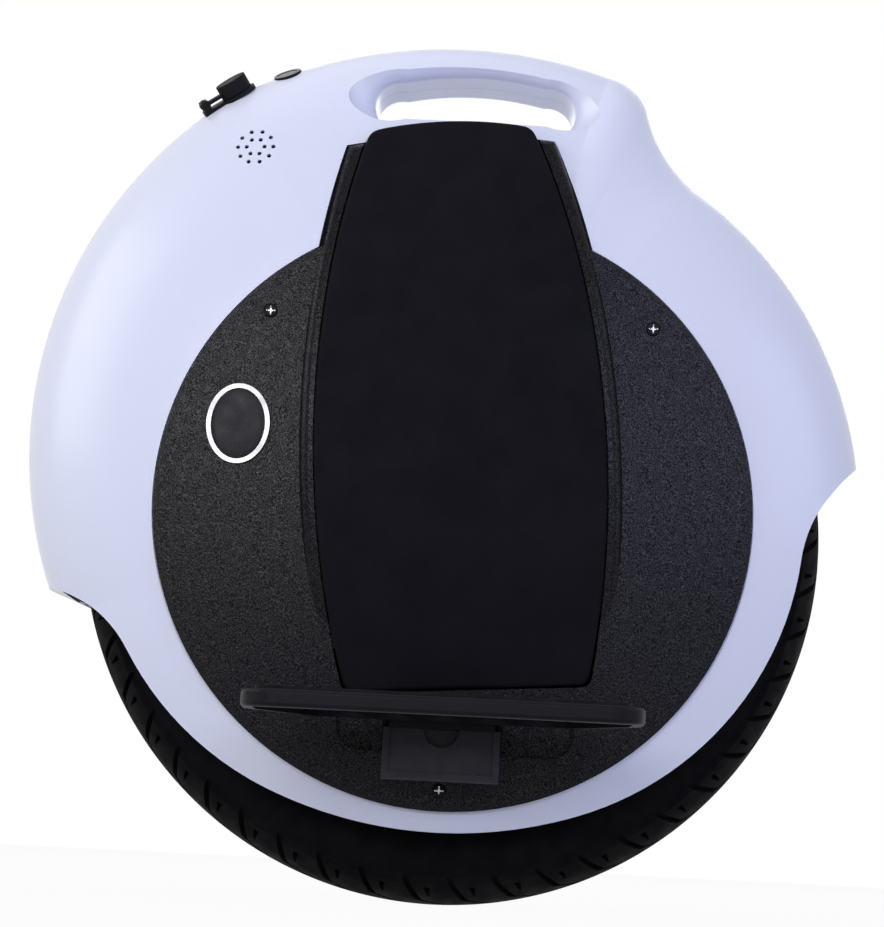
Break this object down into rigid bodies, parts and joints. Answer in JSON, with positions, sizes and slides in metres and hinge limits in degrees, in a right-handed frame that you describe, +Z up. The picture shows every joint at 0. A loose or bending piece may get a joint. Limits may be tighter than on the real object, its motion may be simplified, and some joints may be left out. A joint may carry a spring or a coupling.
{
  "type": "electric unicycle",
  "caption": "Self-balancing electric unicycle: hub-motor wheel in a crowned white casing with a carry handle, dark side covers with leg pads, folding pedals, charge port and power button.",
  "frame": {"origin": "point of the tyre's tread on the ground straight under the axle, in the middle of the wheel", "axes": "+X forward, +Y to the rider's left along the axle, +Z up"},
  "size_m": [0.4056, 0.338, 0.4259],
  "materials": {
    "shell_white": "satin gloss white",
    "cover_dark": "leather-grained dark blue-grey",
    "pad_black": "matte foam rubber",
    "tyre_black": "matte tread rubber",
    "tube_rubber": "soft rubber",
    "black_metal": "black coated",
    "alloy": "cast and turned alloy",
    "steel": "bright steel",
    "magnet_plate": "nickel plated",
    "lamination": "laminated iron",
    "copper": "enamelled winding wire",
    "inner_plastic": "black moulded plastic",
    "dark_alloy": "dark grey coated alloy",
    "grip_rubber": "grip rubber",
    "wrap_blue": "shrink wrap",
    "board_green": "circuit board",
    "chip_black": "moulded chip cases",
    "badge_chrome": "bright rim and dark blank field",
    "cap_rubber": "soft black rubber",
    "pin_brass": "contact pins"
  },
  "bodies": {
    "chassis": {"bearing_inner_rings": "steel", "stator_core": "lamination", "stator_windings": "copper", "axle": "steel", "axle_spacers": "steel", "axle_washers": "steel", "axle_nuts": "steel", "shell_right": "shell_white", "shell_left": "shell_white", "side_cover_right": "cover_dark", "side_cover_left": "cover_dark", "leg_pad_right": "pad_black", "leg_pad_left": "pad_black", "wheel_liner_right": "inner_plastic", "wheel_liner_left": "inner_plastic", "mudguard": "inner_plastic", "pedal_hanger_right": "dark_alloy", "pedal_hanger_left": "dark_alloy", "hanger_bolts": "steel", "battery_pack_right": "wrap_blue", "battery_pack_left": "wrap_blue", "heatsink": "alloy", "mosfets": "chip_black", "control_board": "board_green", "capacitors": "chip_black", "bms_board": "board_green", "speaker": "inner_plastic", "charge_port": "inner_plastic", "charge_pins": "pin_brass", "button_bezel": "inner_plastic", "cover_screws": "black_metal", "badge": "badge_chrome"},
    "wheel": {"tyre": "tyre_black", "inner_tube": "tube_rubber", "motor_rim": "alloy", "valve_stem": "steel", "valve_cap": "inner_plastic", "magnets": "magnet_plate", "motor_cover_right": "black_metal", "motor_cover_left": "black_metal", "motor_cover_bolts": "steel", "bearing_outer_rings": "steel"},
    "pedal_right": {"pedal_right": "dark_alloy", "pedal_grip_right": "grip_rubber", "hinge_pin_right": "steel"},
    "pedal_left": {"pedal_left": "dark_alloy", "pedal_grip_left": "grip_rubber", "hinge_pin_left": "steel"},
    "power_button": {"power_button": "inner_plastic"},
    "charge_cap": {"charge_cap": "cap_rubber"}
  },
  "joints": [
    {"name": "wheel_spin", "type": "hinge", "parent": "chassis", "child": "wheel", "pos_m": [0, 0, 0.18], "axis": [0, 1, 0], "continuous": true},
    {"name": "pedal_right_fold", "type": "hinge", "parent": "chassis", "child": "pedal_right", "pos_m": [0, -0.089, 0.086], "axis": [-1, 0, 0], "range_deg": [0, 90]},
    {"name": "pedal_left_fold", "type": "hinge", "parent": "chassis", "child": "pedal_left", "pos_m": [0, 0.089, 0.086], "axis": [1, 0, 0], "range_deg": [0, 90]},
    {"name": "power_button_press", "type": "slide", "parent": "chassis", "child": "power_button", "axis": [0.3338, 0.4477, -0.8296], "range_m": [0, 0.0014], "stiffness_N_per_m": 400},
    {"name": "charge_cap_lift", "type": "hinge", "parent": "chassis", "child": "charge_cap", "pos_m": [-0.13274, -0.01347, 0.38649], "axis": [0.2188, -0.9219, -0.3197], "range_deg": [0, 110]}
  ]
}
